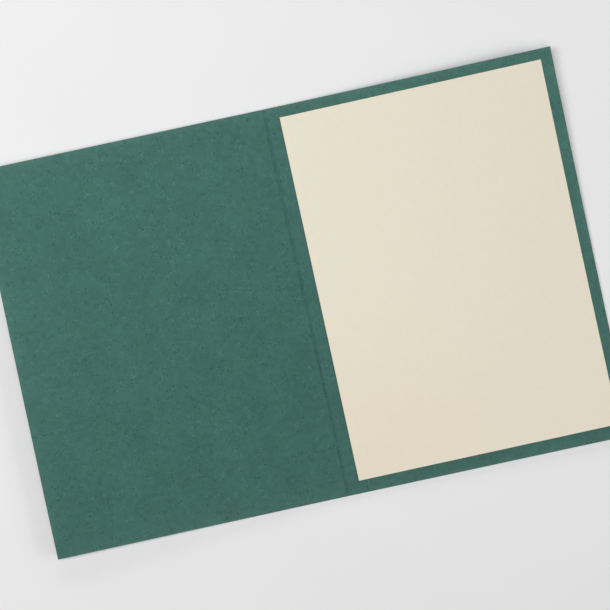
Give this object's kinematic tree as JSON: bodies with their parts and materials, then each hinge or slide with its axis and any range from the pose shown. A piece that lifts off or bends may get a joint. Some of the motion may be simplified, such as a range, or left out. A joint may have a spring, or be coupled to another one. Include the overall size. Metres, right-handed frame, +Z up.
{
  "type": "greeting card",
  "caption": "Open greeting card: a folded sheet of green felt-marked card with a scored fold, and a plain cream paper sheet mounted on its right panel.",
  "frame": {"origin": "on the table under the middle of the open sheet", "axes": "+X across the open card towards the right panel, +Y along the card towards its top edge, +Z up out of its inside"},
  "size_m": [0.22, 0.1484, 0.0044],
  "materials": {
    "green_card": "matt, uncoated, felt-marked and faintly mottled",
    "cream_paper": "matt, smooth, uncoated"
  },
  "bodies": {
    "root": {"card": "green_card", "insert_sheet": "cream_paper"}
  },
  "joints": []
}
